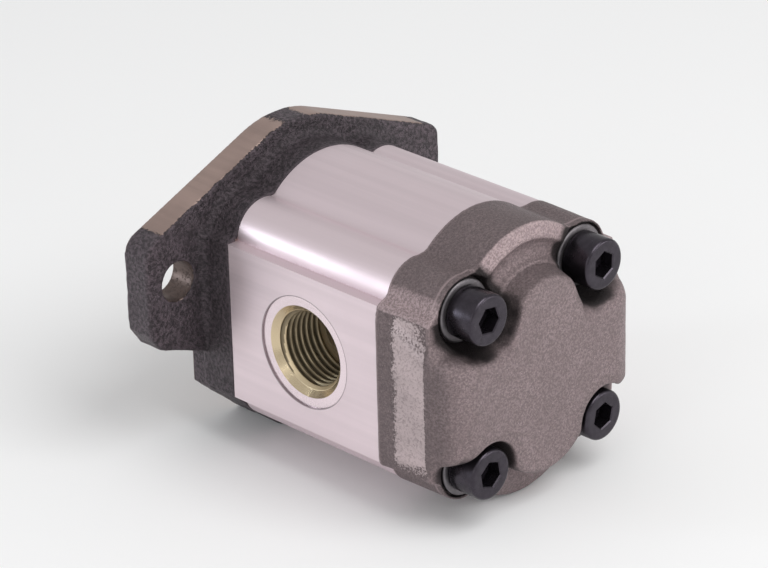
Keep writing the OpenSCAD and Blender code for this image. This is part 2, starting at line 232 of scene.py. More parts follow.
def flange_field(x, y, z):
    """The whole front casting with its machined bores."""
    r = np.hypot(x, z)
    plate = round_max(round_max(plate_outline(x, z), -y, 0.4), y - PLATE_T, 0.8)
    draft = CAST_PROUD - 0.03 * (JOINT_Y - y)
    block = round_min(pump_outline(x, z) - draft, foot_outline(x, z, BLOCK_FOOT_Z), 0.5)
    block = round_max(round_max(block, y - JOINT_Y, 0.3), PLATE_T - 2 - y, 0.5)
    block = np.maximum(block, FLOOR_Z - z)
    fillet = 0.5 + 2.0 / (1 + np.exp(-(z + 16) / 2))
    field = round_min(plate, block, fillet)
    field = np.minimum(field, round_max(round_max(r - PILOT_R, PILOT_Y - y, 0.7), y - 2, 0.1))
    field = cut(field, circle(np.abs(x), z, EAR_HOLE_X, 0, EAR_HOLE_R), 0.45)
    seal_bore = np.maximum(r - SEAL_BORE_R, y - SEAL_BORE_Y)
    ring_groove = np.maximum(r - RING_GROOVE_R, np.abs(y - RING_GROOVE_Y) - 0.65)
    passage = np.maximum(r - PASSAGE_R, 4 - y)
    bores = np.minimum(round_min(seal_bore, ring_groove, 0.1), passage)
    journal = np.maximum(circle(x, z, 0, GEAR_Z, JOURNAL_R), JOINT_Y - JOURNAL_DEPTH - y)
    bores = np.minimum(bores, journal)
    for sx, sz in SCREW_PLACES:
        bores = np.minimum(bores, np.maximum(circle(x, z, sx, sz, TAPPED_R), TAPPED_Y - y))
    return cut(field, bores, 0.25)


def cover_field(x, y, z):
    """The whole rear casting: low part with its shelf and groove, raised dome and four screw recesses."""
    ax = np.abs(x)
    r_drive = np.hypot(x, z)
    r_driven = np.hypot(x, z - GEAR_Z)
    r_near = np.minimum(r_drive, r_driven)
    rise = DOME_Y - y
    draft = CAST_PROUD - 0.02 * (y - COVER_Y)
    shelf = (y - RIM_Y - np.clip((LOBE_R - 0.2 - r_near) * 0.30, 0, 1.2)) * 0.96
    low = round_max(pump_outline(x, z) - draft, shelf, 0.4)
    nose = round_max((r_drive - DRIVE_NOSE_R - 0.25 * rise) * 0.97, y - DOME_Y, 1.5)
    low_nose = round_max(r_driven - DRIVEN_NOSE_R - 0.08 * rise, y - DOME_Y, 1.5)
    sides = round_max(ax - BODY_X - CAST_PROUD, y - DOME_Y, 8.6)
    sides = round_max(sides, (z - DOME_TOP_Z - 0.42 * rise) * 0.92, 3.0)
    sides = round_max(sides, (DOME_LOW_Z - z - 0.25 * rise) * 0.97, 2.0)
    dome = np.maximum(round_min(np.minimum(nose, low_nose), sides, 2.0), y - DOME_Y)
    field = np.minimum(round_min(low, dome, 0.9), round_min(low, sides, 2.6))
    ridge = round_max(np.hypot(r_drive - RIDGE_R, y - RIM_Y - 1.1) - 0.9, 3 - z, 1.2)
    field = round_min(field, ridge, 0.5)
    groove = round_max(np.hypot(r_drive - GROOVE_R, y - RIM_Y - GROOVE_W) - GROOVE_W, 4 - z, 1.0)
    field = cut(field, groove, 0.4)
    for sx, sz in SCREW_PLACES:
        upper = sz > MID_Z
        away = np.hypot(x - sx, z - sz)
        above = y - SEAT_Y
        flare = 1.3 + (0.09 + 0.04 * np.sign(sx)) * above if upper else 0.85 - 0.08 * above
        pocket = away - WASHER_R - 0.45 - np.minimum(0.32 * above, flare)
        pocket = np.maximum(pocket, pump_outline(x, z) + POCKET_WALL)
        high = smooth_step(RIM_Y + 1.5, RIM_Y + 5, y)
        field = cut(field, np.maximum(pocket, SEAT_Y - y), 0.15 + high * (0.9 if upper else 0.5))
        field = cut(field, np.maximum(away - CLEARANCE_R, COVER_Y - 3 - y), 0.25)
    field = cut(field, np.maximum(r_near - JOURNAL_R, y - COVER_Y - JOURNAL_DEPTH), 0.25)
    return round_max(field, COVER_Y - y, 0.3)


def net_surface(field, low, high, step):
    """Vertices and quads of the surface where a field is zero, one vertex for each cell it crosses."""
    axes = [np.arange(a - 2 * step, b + 3 * step, step) for a, b in zip(low, high)]
    x, y, z = (axes[i].reshape([-1 if k == i else 1 for k in range(3)]) for i in range(3))
    grid = np.asarray(field(x, y, z), float)
    cells = np.array(grid.shape)
    stride = np.array([cells[1] * cells[2], cells[2], 1])
    corner_cells, corner_places, quads = [], [], []
    for axis in range(3):
        u, v = (axis + 1) % 3, (axis + 2) % 3
        a = np.moveaxis(np.moveaxis(grid, axis, 0)[:-1], 0, axis)
        b = np.moveaxis(np.moveaxis(grid, axis, 0)[1:], 0, axis)
        start = np.argwhere((a < 0) != (b < 0))
        at = tuple(start.T)
        place = start.astype(float)
        place[:, axis] += a[at] / (a[at] - b[at])
        around = []
        for du, dv in ((0, 0), (1, 0), (1, 1), (0, 1)):
            cell = start.copy()
            cell[:, u] -= du
            cell[:, v] -= dv
            around.append(cell @ stride)
            corner_cells.append(around[-1])
            corner_places.append(place)
        quad = np.stack(around, 1)
        leaving = a[at] < 0
        quad[leaving] = quad[leaving][:, ::-1]
        quads.append(quad)
    cell_ids, vertex = np.unique(np.concatenate(corner_cells), return_inverse=True)
    places = np.concatenate(corner_places)
    count = np.bincount(vertex)
    mean = np.stack([np.bincount(vertex, places[:, k]) / count for k in range(3)], 1)
    origin = np.array([axis[0] for axis in axes])
    quads = np.searchsorted(cell_ids, np.concatenate(quads))
    return origin + mean * step, quads[:, ::-1]


def slope_of(field, points):
    """Unit normals of a field at some points, and its steepness there."""
    reach = 0.04
    steps = []
    for k in range(3):
        shift = np.zeros(3)
        shift[k] = reach
        ahead, behind = points + shift, points - shift
        steps.append((field(*ahead.T) - field(*behind.T)) / (2 * reach))
    slope = np.stack(steps, 1)
    steep = np.maximum(np.linalg.norm(slope, axis=1), 1e-6)
    return slope / steep[:, None], steep


def settle(field, points, most):
    """Moves points onto the surface along the field's slope, none by more than most."""
    for _ in range(2):
        normal, steep = slope_of(field, points)
        move = np.clip(field(*points.T) / steep, -most, most)
        points = points - normal * move[:, None]
    return points


def lumps(points, size, seed):
    """Smooth noise from -1 to 1, with lumps about size millimetres across."""
    lattice = np.random.default_rng(seed).uniform(-1, 1, (32, 32, 32))
    scaled = points / size
    cell = np.floor(scaled).astype(int)
    part = scaled - cell
    part = part * part * (3 - 2 * part)
    total = np.zeros(len(points))
    for near in np.ndindex(2, 2, 2):
        weight = np.prod(np.where(near, part, 1 - part), axis=1)
        total += weight * lattice[tuple(((cell + near) % 32).T)]
    return total


def smooth_step(low, high, value):
    """Rises from 0 to 1 between two limits, or falls where low is above high."""
    t = np.clip((value - low) / (high - low), 0, 1)
    return t * t * (3 - 2 * t)


# ---------------------------------------------------------------------------
# Pieces
# ---------------------------------------------------------------------------

def bare_piece(name, points, faces):
    """A mesh object from points in millimetres, put into the scene."""
    mesh = bpy.data.meshes.new(name)
    mesh.from_pydata((np.asarray(points) * MM).tolist(), [], [list(f) for f in faces])
    piece = bpy.data.objects.new(name, mesh)
    bpy.context.scene.collection.objects.link(piece)
    return piece


def mesh_piece(name, points, faces, material, slot=None):
    """A smooth-shaded mesh object with its material. The slot is not used."""
    piece = bare_piece(name, points, faces)
    piece.data.validate()
    piece.data.materials.append(material)
    piece.data.shade_smooth()
    return piece


def add_mask(piece, name, values):
    """Stores one number per vertex for a material to read."""
    attribute = piece.data.attributes.new(name, "FLOAT", "POINT")
    attribute.data.foreach_set("value", np.asarray(values, np.float32))


def cast_piece(name, field, low, high, step, machined, painted_light, material, slot, skin):
    """Meshes a casting, roughens its skin and stores the masks its material reads."""
    points, quads = net_surface(field, low, high, step)
    points = settle(field, points, 0.5 * step)
    normal, _ = slope_of(field, points)
    finish = machined(points, normal)
    # Painted shade: a hollow value that darkens the colour where the surface lies in a hollow.
    hollow_shade = 1 - field(*(points + 1.6 * normal).T) / 1.6
    # Painted highlight: an edge value that brightens the colour where the surface rounds over an edge.
    under = field(*(points - 0.9 * normal).T)
    edge = np.where(under < -0.2, 1 + under / 0.9, 0)
    relief = skin * (0.55 * lumps(points, 4.2, 1) + 0.45 * lumps(points, 1.7, 2))
    points = points + normal * ((1 - finish) * relief)[:, None]
    piece = mesh_piece(name, points, quads, material, slot)
    add_mask(piece, "machined", finish)
    add_mask(piece, "hollow_shade", np.clip(hollow_shade, 0, 1))
    add_mask(piece, "painted_light", painted_light(points))
    # A facing value, which the material uses to paint shade on walls that face away from the rear.
    add_mask(piece, "facing", np.clip(normal[:, 1], 0, 1))
    add_mask(piece, "edge", np.clip(edge, 0, 1))
    return piece


def ear_holes(x, z):
    """True on the walls of the two ear holes."""
    return np.hypot(np.abs(x) - EAR_HOLE_X, z) < EAR_HOLE_R + 0.15


def flange_machined(points, normal):
    """Where the front casting is cut: both faces of the joint, the pilot, the bores and the slanted edges."""
    x, y, z = points.T
    front = ((normal[:, 1] < -0.6) + (np.hypot(x, z) < PILOT_R + 1.5)) * (y < 1.2)
    joint = (normal[:, 1] > 0.95) * (y > JOINT_Y - 0.12) * (pump_outline(x, z) < -0.8)
    bore = (np.hypot(x, z) < RING_GROOVE_R + 0.8) * (y < JOINT_Y)
    ragged = 0.25 * lumps(points, 3.0, 5)
    rim = smooth_step(0.35, 0.1, np.abs(plate_outline(x, z))) * (z > 8)
    rim = rim * smooth_step(PLATE_T - 0.1, PLATE_T - 0.6, y + ragged)
    milled = rim * smooth_step(46.5, 45.0, np.abs(x)) * smooth_step(1.5, 6, np.abs(x) + 4 * ragged)
    return np.clip(front + joint + bore + 0.8 * ear_holes(x, z) + milled, 0, 1)


def cover_machined(points, normal):
    """Where the rear casting is cut: the joint face, the screw seats and a ground patch on each side."""
    x, y, z = points.T
    joint = (normal[:, 1] < -0.7) * (y < COVER_Y + 0.4)
    seat = (normal[:, 1] > 0.8) * (np.abs(y - SEAT_Y) < 0.25)
    ragged = 0.7 * lumps(points, 2.6, 6) + 0.5 * lumps(points, 0.9, 7)
    patch = smooth_step(0.9, 0.98, np.abs(normal[:, 0])) * smooth_step(BODY_X - 0.2, BODY_X, np.abs(x))
    patch = patch * smooth_step(3.6, 6.8, y - COVER_Y + ragged)
    patch = patch * smooth_step(PATCH_TOP_Y, PATCH_TOP_Y - 0.4, y)
    patch = patch * smooth_step(10.4, 8.6, z) * smooth_step(-33.5, -28.5, z)
    return np.clip(joint + seat + 0.8 * patch, 0, 1)


def flange_painted_shade(points):
    """Painted shade that darkens the front casting in the ear holes and where plate and block meet."""
    x, y, z = points.T
    near = 0.35 * smooth_step(9, 2, pump_outline(x, z)) * smooth_step(PLATE_T - 2, PLATE_T, y)
    return np.maximum(near, 0.6 * ear_holes(x, z))


def cover_painted_light(points):
    """Painted shade in the four screw recesses, and below zero painted highlights on the rim and the lobe flanks.
    """
    x, y, z = points.T
    away = np.hypot(np.abs(x) - SCREW_X, np.abs(z - MID_Z) - (SCREW_Z - MID_Z))
    inside = smooth_step(SEAT_Y - 0.4, SEAT_Y + 0.2, y) * smooth_step(-0.15, -0.35, pump_outline(x, z))
    near = smooth_step(WASHER_R + 4.8, WASHER_R + 1.7, away + 0.9 * lumps(points, 2.2, 8))
    depth = 0.3 + 0.7 * smooth_step(0.1, 2.0, DOME_Y - y)
    # Painted shade, deeper below the dome and weaker in the lower recesses.
    recess_shade = inside * near * depth * np.where(z > MID_Z, 1.0, 0.75)
    # Painted highlights on the rim facet and the lobe flanks, returned as negative values.
    rim_highlight = smooth_step(19.6, 20.8, np.hypot(x, z)) * (z > 5) * smooth_step(RIM_Y - 0.5, RIM_Y, y)
    rim_highlight = rim_highlight * smooth_step(17, 14, np.abs(x))
    flank = 0.7 * (np.abs(x) > 26) * (z > LOBE_Z) * smooth_step(15.5, 12.5, z + 0.6 * lumps(points, 2.2, 9))
    return recess_shade - np.maximum(flank, rim_highlight * (1 - near) * smooth_step(1.5, 3.0, DOME_Y - y))


def ring(radius, along, count, sides=0):
    """Points of one ring. With sides, radius is the distance across half the flats of that polygon."""
    angle = np.arange(count) * 2 * math.pi / count
    if sides:
        sector = 2 * math.pi / sides
        radius = radius / np.cos((angle % sector) - sector / 2)
    return np.stack([radius * np.cos(angle), radius * np.sin(angle), np.full(count, float(along))], 1)


def loft(rings, closed=False):
    """Points and faces of a skin over rings of equal count. Closed joins the last ring to the first."""
    count = len(rings[0])
    points = np.concatenate(rings)
    faces = []
    last = len(rings) if closed else len(rings) - 1
    for i in range(last):
        a, b = i * count, (i + 1) % len(rings) * count
        for k in range(count):
            n = (k + 1) % count
            faces.append((a + k, a + n, b + n, b + k))
    if not closed:
        faces.append(tuple(reversed(range(count))))
        faces.append(tuple(range((len(rings) - 1) * count, len(rings) * count)))
    return points, faces


def point_along_y(points):
    """Turns a shape made along Z so that it points along +Y."""
    return points[:, [0, 2, 1]] * [1, 1, -1]


def point_along_x(points, side):
    """Turns a shape made along Z so that it points along X, to the side of that sign."""
    return points[:, [2, 1, 0]] * [side, 1, -side]


def join_parts(parts):
    """Several (points, faces) as one."""
    points, faces, base = [], [], 0
    for part_points, part_faces in parts:
        points.append(part_points)
        faces += [tuple(i + base for i in f) for f in part_faces]
        base += len(part_points)
    return np.concatenate(points), faces


def thread_radius(angle, along, pitch, minor, major):
    """Radius of a rounded screw thread at an angle and a height."""
    wave = 0.5 + 0.5 * np.cos(2 * math.pi * (along / pitch) - angle)
    return minor + (major - minor) * wave


def arc_points(cx, cz, r, first, last, steps):
    """Points along an arc, angles in degrees."""
    return [(cx + r * math.cos(math.radians(a)), cz + r * math.sin(math.radians(a)))
            for a in np.linspace(first, last, steps + 1)]


def quarter_outline():
    """The body outline from the top edge of a port face round to the top of the gear lobe."""
    to_lobe = math.hypot(LOBE_X, LOBE_Z)
    big, small = LOBE_R + NOTCH_R, SCREW_LOBE_R + NOTCH_R
    along = (big ** 2 - small ** 2 + to_lobe ** 2) / (2 * to_lobe)
    turn = math.atan2(LOBE_Z, LOBE_X) + math.acos(along / big)
    nx, nz = big * math.cos(turn), big * math.sin(turn)
    from_small = math.degrees(math.atan2(nz - LOBE_Z, nx - LOBE_X))
    ledge_z = MID_Z + PORT_FACE_HALF_H
    ledge = math.degrees(math.asin((ledge_z - LOBE_Z) / SCREW_LOBE_R))
    points = [(BODY_X, ledge_z)]
    points += arc_points(LOBE_X, LOBE_Z, SCREW_LOBE_R, ledge, from_small, 40)
    points += arc_points(nx, nz, NOTCH_R, from_small - 180, math.degrees(turn) - 180, 10)[1:]
    points += arc_points(0, 0, LOBE_R, math.degrees(turn), 90, 24)[1:]
    return points


def body_outline():
    """The whole outline, anticlockwise as seen with X to the right and Z up."""
    quarter = quarter_outline()
    upper = quarter + [(-x, z) for x, z in reversed(quarter[:-1])]
    return upper + [(-x, 2 * MID_Z - z) for x, z in upper]


def boolean_cut(piece, cutter):
    """Takes a cutter mesh out of a piece for good, and removes the cutter."""
    step = piece.modifiers.new("cut", "BOOLEAN")
    step.operation = "DIFFERENCE"
    step.solver = "EXACT"
    step.object = cutter
    graph = bpy.context.evaluated_depsgraph_get()
    result = bpy.data.meshes.new_from_object(piece.evaluated_get(graph))
    piece.modifiers.clear()
    piece.data = result
    bpy.data.objects.remove(cutter)


def broken_edges(piece, width):
    """Rounds every sharp edge of a machined piece a little."""
    bevel = piece.modifiers.new("edge break", "BEVEL")
    bevel.width = width * MM
    bevel.segments = 2
    bevel.limit_method = "ANGLE"
    bevel.angle_limit = math.radians(32)
    bevel.miter_outer = "MITER_ARC"
    weighted = piece.modifiers.new("flat faces", "WEIGHTED_NORMAL")
    weighted.keep_sharp = True
    weighted.weight = 90


# ---------------------------------------------------------------------------
# Shader parts
# ---------------------------------------------------------------------------

def add_node(tree, kind, **settings):
    """Puts a node into a tree and sets its options."""
    node = tree.nodes.new(kind)
    for key, value in settings.items():
        setattr(node, key, value)
    return node


def feed(tree, source, target):
    """Links a socket, or sets a plain value."""
    if isinstance(source, bpy.types.NodeSocket):
        tree.links.new(source, target)
    else:
        target.default_value = source


def maths(tree, operation, a, b=0.0):
    """One sum on sockets or numbers."""
    node = add_node(tree, "ShaderNodeMath", operation=operation)
    feed(tree, a, node.inputs[0])
    feed(tree, b, node.inputs[1])
    return node.outputs[0]


def mix_colour(tree, share, a, b):
    """Goes from colour a to colour b as the share rises from 0 to 1."""
    node = add_node(tree, "ShaderNodeMix", data_type="RGBA")
    feed(tree, share, node.inputs[0])
    for value, socket in ((a, node.inputs[6]), (b, node.inputs[7])):
        feed(tree, value if isinstance(value, bpy.types.NodeSocket) else (*value, 1), socket)
    return node.outputs[2]


def shade(colour, factor):
    """A colour made lighter or darker by a factor."""
    return [c * factor for c in colour]


def tint(tree, colour, share, strength, towards):
    """Takes a colour towards another where a mask is high, at most by that strength."""
    return mix_colour(tree, maths(tree, "MULTIPLY", share, strength), colour, towards)


def mix_value(tree, share, a, b):
    """Goes from value a to value b as the share rises from 0 to 1."""
    node = add_node(tree, "ShaderNodeMix", data_type="FLOAT")
    feed(tree, share, node.inputs[0])
    feed(tree, a, node.inputs[2])
    feed(tree, b, node.inputs[3])
    return node.outputs[0]


def ramp(tree, value, low, high, to_low=0.0, to_high=1.0):
    """Smoothly maps a value between two limits."""
    node = add_node(tree, "ShaderNodeMapRange", interpolation_type="SMOOTHSTEP")
    for source, socket in zip((value, low, high, to_low, to_high), node.inputs):
        feed(tree, source, socket)
    return node.outputs[0]


def noise(tree, vector, scale, detail=3.0, roughness=0.55):
    """Soft noise with so many lumps to the metre."""
    node = add_node(tree, "ShaderNodeTexNoise")
    feed(tree, vector, node.inputs["Vector"])
    feed(tree, scale, node.inputs["Scale"])
    node.inputs["Detail"].default_value = detail
    node.inputs["Roughness"].default_value = roughness
    return node.outputs["Fac"]


def new_group(name, size_label, size, outputs):
    """A shader node group that takes coordinates and a size. Gives the coordinates and sizes per metre."""
    group = bpy.data.node_groups.new(name, "ShaderNodeTree")
    group.interface.new_socket(name="Vector", in_out="INPUT", socket_type="NodeSocketVector")
    socket = group.interface.new_socket(name=size_label, in_out="INPUT", socket_type="NodeSocketFloat")
    socket.default_value = size
    for label in outputs:
        group.interface.new_socket(name=label, in_out="OUTPUT", socket_type="NodeSocketFloat")
    given = add_node(group, "NodeGroupInput").outputs
    made = add_node(group, "NodeGroupOutput").inputs
    return group, given["Vector"], maths(group, "DIVIDE", 1.0, given[size_label]), made


def cast_skin_group():
    """Sand-cast or blasted iron skin: relief, worn grains, bright specks that are painted glints, and slow
    patches.
    """
    outputs = ("Height", "Grains", "Painted glints", "Patches")
    group, vector, per_metre, made = new_group("Cast skin", "Grain size", 0.0006, outputs)
    coarse = noise(group, vector, maths(group, "MULTIPLY", per_metre, 0.45), 5.0, 0.72)
    cells = add_node(group, "ShaderNodeTexVoronoi", feature="SMOOTH_F1")
    feed(group, vector, cells.inputs["Vector"])
    feed(group, per_metre, cells.inputs["Scale"])
    cells.inputs["Smoothness"].default_value = 0.6
    pits = maths(group, "MULTIPLY", cells.outputs["Distance"], 0.35)
    fine = noise(group, vector, maths(group, "MULTIPLY", per_metre, 0.8), 3.0, 0.7)
    slow = noise(group, vector, 90.0, 4.0, 0.6)
    feed(group, maths(group, "ADD", coarse, pits), made["Height"])
    feed(group, ramp(group, coarse, 0.40, 0.62), made["Grains"])
    feed(group, ramp(group, fine, 0.60, 0.70), made["Painted glints"])
    feed(group, ramp(group, slow, 0.36, 0.66), made["Patches"])
    return group


def tool_marks_group():
    """Parallel cutter lines, from a vector that is already stretched along them."""
    group, vector, per_metre, made = new_group("Tool marks", "Spacing", 0.0005, ("Lines", "Bands"))
    wide = noise(group, vector, maths(group, "MULTIPLY", per_metre, 0.22), 2.0, 0.5)
    feed(group, noise(group, vector, per_metre, 2.0, 0.5), made["Lines"])
    feed(group, ramp(group, wide, 0.3, 0.7), made["Bands"])
    return group


def handling_group():
    """Oil film and finger smears: a slow mask that dulls a machined surface, and fine dust."""
    group, vector, per_metre, made = new_group("Handling marks", "Size", 0.012, ("Smears", "Dust"))
    slow = noise(group, vector, per_metre, 3.0, 0.5)
    dust = noise(group, vector, maths(group, "MULTIPLY", per_metre, 14.0), 2.0, 0.6)
    feed(group, ramp(group, slow, 0.35, 0.7), made["Smears"])
    feed(group, ramp(group, dust, 0.62, 0.75), made["Dust"])
    return group


GROUP_MAKERS = {
    "Cast skin": cast_skin_group,
    "Tool marks": tool_marks_group,
    "Handling marks": handling_group,
}


def place_group(tree, name, **values):
    """Puts a shared group into a material, building it the first time."""
    group = bpy.data.node_groups.get(name) or GROUP_MAKERS[name]()
    node = add_node(tree, "ShaderNodeGroup", node_tree=group)
    for label, value in values.items():
        feed(tree, value, node.inputs[label.replace("_", " ").capitalize()])
    return node.outputs


def new_material(name):
    """A material with an empty Principled surface, returned with its tree, shader and object coordinates."""
    material = bpy.data.materials.new(name)
    material.use_nodes = True
    tree = material.node_tree
    tree.nodes.clear()
    shader = add_node(tree, "ShaderNodeBsdfPrincipled")
    output = add_node(tree, "ShaderNodeOutputMaterial")
    tree.links.new(shader.outputs[0], output.inputs[0])
    coordinates = add_node(tree, "ShaderNodeTexCoord").outputs["Object"]
    return material, tree, shader, coordinates


def mask(tree, name):
    """Reads a mask stored on the mesh."""
    return add_node(tree, "ShaderNodeAttribute", attribute_name=name).outputs["Fac"]


def stretched(tree, vector, x, y, z):
    """Coordinates scaled along each axis, so that a pattern runs long where they are small."""
    node = add_node(tree, "ShaderNodeVectorMath", operation="MULTIPLY")
    feed(tree, vector, node.inputs[0])
    node.inputs[1].default_value = (x, y, z)
    return node.outputs[0]


def coat(tree, shader, colour, roughness, metallic=0.0):
    """Sets how a surface looks, from sockets or numbers."""
    feed(tree, colour, shader.inputs["Base Color"])
    feed(tree, roughness, shader.inputs["Roughness"])
    feed(tree, metallic, shader.inputs["Metallic"])


def bump(tree, height, depth, shader):
    """Gives a shader relief of that depth in millimetres."""
    node = add_node(tree, "ShaderNodeBump")
    node.inputs["Strength"].default_value = 1.0
    node.inputs["Distance"].default_value = depth * MM
    feed(tree, height, node.inputs["Height"])
    feed(tree, node.outputs[0], shader.inputs["Normal"])


def cast_iron(name, look, cut_look, grain, depth, contrast, wall_painted_shade, metallic):
    """Iron with a cast skin, painted darker in its hollows and on its walls as shade, painted brighter on its
    edges as highlights, bare where it is cut.
    """
    material, tree, shader, vector = new_material(name)
    skin = place_group(tree, "Cast skin", vector=vector, grain_size=grain * MM)
    marks = place_group(tree, "Tool marks", vector=stretched(tree, vector, 1.0, 0.06, 0.6), spacing=0.45 * MM)
    smears = place_group(tree, "Handling marks", vector=vector)
    colour = mix_colour(tree, skin["Grains"], shade(look, 1 - contrast), shade(look, 1 + contrast))
    colour = tint(tree, colour, skin["Patches"], 0.3, shade(look, 0.7))
    # Painted glints: small bright specks.
    colour = tint(tree, colour, skin["Painted glints"], 0.55, shade(look, 2.6))
    # Painted shade: walls that face away from the rear are darkened, as if less lit.
    painted_wall_shade = ramp(tree, mask(tree, "facing"), 0.35, 0.85, 1.0 - wall_painted_shade, 0.0)
    colour = mix_colour(tree, painted_wall_shade, colour, shade(look, 0.1))
    # Painted highlight along the convex edges.
    painted_edge_highlight = ramp(tree, mask(tree, "edge"), 0.1, 0.6, 0.0, 0.6)
    colour = mix_colour(tree, painted_edge_highlight, colour, shade(look, 1.6))
    # Painted shade in the hollows.
    painted_hollow_shade = ramp(tree, mask(tree, "hollow_shade"), 0.1, 0.9, 0.0, 0.7)
    colour = mix_colour(tree, painted_hollow_shade, colour, shade(look, 0.2))
    # Painted light mask: positive values paint shade, negative values paint highlights.
    painted_light = mask(tree, "painted_light")
    # Painted highlight from the negative side of the mask, strongest on light grains.
    painted_highlight = maths(tree, "MULTIPLY", ramp(tree, painted_light, 0.0, -1.0, 0.25, 0.85), ramp(tree, painted_light, 0.0, -0.4))
    painted_highlight = maths(tree, "MULTIPLY", painted_highlight, ramp(tree, skin["Grains"], 0.0, 1.0, 0.4, 1.0))
    colour = mix_colour(tree, painted_highlight, colour, shade(look, 2.2))
    metal = mix_colour(tree, marks["Bands"], shade(cut_look, 0.88), cut_look)
    metal = tint(tree, metal, smears["Smears"], 0.35, shade(cut_look, 0.6))
    speckle = maths(tree, "MULTIPLY", maths(tree, "SUBTRACT", skin["Grains"], 0.5), 0.5)
    bare = ramp(tree, maths(tree, "ADD", mask(tree, "machined"), speckle), 0.35, 0.65)
    colour = mix_colour(tree, bare, colour, metal)
    # Painted shade: the positive side of the mask takes the colour almost to black.
    colour = mix_colour(tree, ramp(tree, painted_light, 0.0, 1.0, 0.0, 0.95), colour, shade(look, 0.07))
    rough = mix_value(tree, bare, 0.48, mix_value(tree, marks["Bands"], 0.38, 0.5))
    coat(tree, shader, colour, rough, mix_value(tree, bare, metallic, 0.75))
    cut_height = maths(tree, "MULTIPLY", marks["Lines"], 0.12)
    bump(tree, mix_value(tree, bare, skin["Height"], cut_height), depth, shader)
    return material


def body_aluminium(name, look, gold):
    """Extruded aluminium with die lines along the pump, brighter spot faces and gilded countersinks."""
    material, tree, shader, vector = new_material(name)
    lines = place_group(tree, "Tool marks", vector=stretched(tree, vector, 1.0, 0.012, 1.0), spacing=0.5 * MM)
    smears = place_group(tree, "Handling marks", vector=vector, size=0.02)
    split = add_node(tree, "ShaderNodeSeparateXYZ")
    feed(tree, vector, split.inputs[0])
    dy = maths(tree, "SUBTRACT", split.outputs["Y"], PORT_Y * MM)
    dz = maths(tree, "SUBTRACT", split.outputs["Z"], MID_Z * MM)
    reach = maths(tree, "SQRT", maths(tree, "ADD", maths(tree, "MULTIPLY", dy, dy),
                                      maths(tree, "MULTIPLY", dz, dz)))
    side = maths(tree, "GREATER_THAN", split.outputs["X"], 0.0)
    outer = maths(tree, "GREATER_THAN", maths(tree, "ABSOLUTE", split.outputs["X"]), (BODY_X - 3.0) * MM)
    sink_r = mix_value(tree, side, (OUTLET_R + SINK) * MM, (INLET_R + SINK) * MM)
    spot_r = mix_value(tree, side, (OUTLET_FACE_R + 0.05) * MM, (INLET_FACE_R + 0.05) * MM)
    in_sink = maths(tree, "LESS_THAN", reach, sink_r)
    in_spot = maths(tree, "MULTIPLY", maths(tree, "LESS_THAN", reach, spot_r), outer)
    colour = mix_colour(tree, lines["Bands"], shade(look, 0.93), look)
    colour = tint(tree, colour, smears["Smears"], 0.25, shade(look, 0.85))
    colour = mix_colour(tree, in_spot, colour, [min(1, c * 1.1) for c in look])
    # Painted shade: a dark line round the outline of each spot face.
    rim = maths(tree, "LESS_THAN", maths(tree, "ABSOLUTE", maths(tree, "SUBTRACT", reach, spot_r)), 0.16 * MM)
    colour = mix_colour(tree, maths(tree, "MULTIPLY", rim, outer), colour, shade(look, 0.45))
    colour = mix_colour(tree, in_sink, colour, gold)
    rings = maths(tree, "FRACT", maths(tree, "MULTIPLY", reach, 1 / (0.22 * MM)))
    rough = mix_value(tree, smears["Smears"], 0.42, 0.5)
    coat(tree, shader, colour, mix_value(tree, in_spot, rough, 0.24), 0.85)
    height = mix_value(tree, in_spot, maths(tree, "MULTIPLY", lines["Lines"], 0.5), rings)
    bump(tree, height, 0.012, shader)
    return material


def threaded_gold(name, look):
    """The gilded thread of a port, darker in its roots."""
    material, tree, shader, vector = new_material(name)
    smears = place_group(tree, "Handling marks", vector=vector, size=0.004)
    root = mask(tree, "root")
    worn = shade(look, 0.52)
    colour = mix_colour(tree, ramp(tree, root, 0.0, 1.0), worn, shade(worn, 0.5))
    colour = tint(tree, colour, smears["Smears"], 0.4, shade(worn, 0.5))
    colour = mix_colour(tree, ramp(tree, root, -0.3, -0.5), colour, look)
    coat(tree, shader, colour, mix_value(tree, smears["Smears"], 0.38, 0.5), 1.0)
    return material


def plain_metal(name, look, roughness, metallic=1.0, spread=0.12, stretch=(1, 1, 1), depth=0.004):
    """Turned, ground or oxide-coated metal: a shade of its own with fine lines and smears."""
    material, tree, shader, vector = new_material(name)
    lines = place_group(tree, "Tool marks", vector=stretched(tree, vector, *stretch), spacing=0.3 * MM)
    smears = place_group(tree, "Handling marks", vector=vector, size=0.006)
    colour = mix_colour(tree, lines["Bands"], shade(look, 1 - spread), look)
    colour = tint(tree, colour, smears["Dust"], 0.25, [min(1, c * 1.5 + 0.04) for c in look])
    rough = mix_value(tree, smears["Smears"], roughness, min(1, roughness + 0.12))
    coat(tree, shader, colour, rough, metallic)
    bump(tree, lines["Lines"], depth, shader)
    return material


def soft_part(name, look, roughness):
    """Rubber or PTFE with a faint moulded grain."""
    material, tree, shader, vector = new_material(name)
    smears = place_group(tree, "Handling marks", vector=vector, size=0.003)
    colour = mix_colour(tree, smears["Smears"], look, shade(look, 0.75))
    coat(tree, shader, colour, mix_value(tree, smears["Dust"], roughness, min(1, roughness + 0.2)))
    bump(tree, smears["Dust"], 0.01, shader)
    return material


# ---------------------------------------------------------------------------
# Settings
# ---------------------------------------------------------------------------

def length_setting(name, description, default_mm, low_mm, high_mm):
    """A length that the user sets, given here in millimetres."""
    return FloatProperty(name=name, description=description, default=default_mm * MM, min=low_mm * MM,
                         max=high_mm * MM, precision=5, subtype="DISTANCE", unit="LENGTH")


def colour_setting(name, description, default):
    """A colour that the user sets."""
    return FloatVectorProperty(name=name, description=description, default=default, size=3, min=0.0, max=1.0,
                               subtype="COLOR")


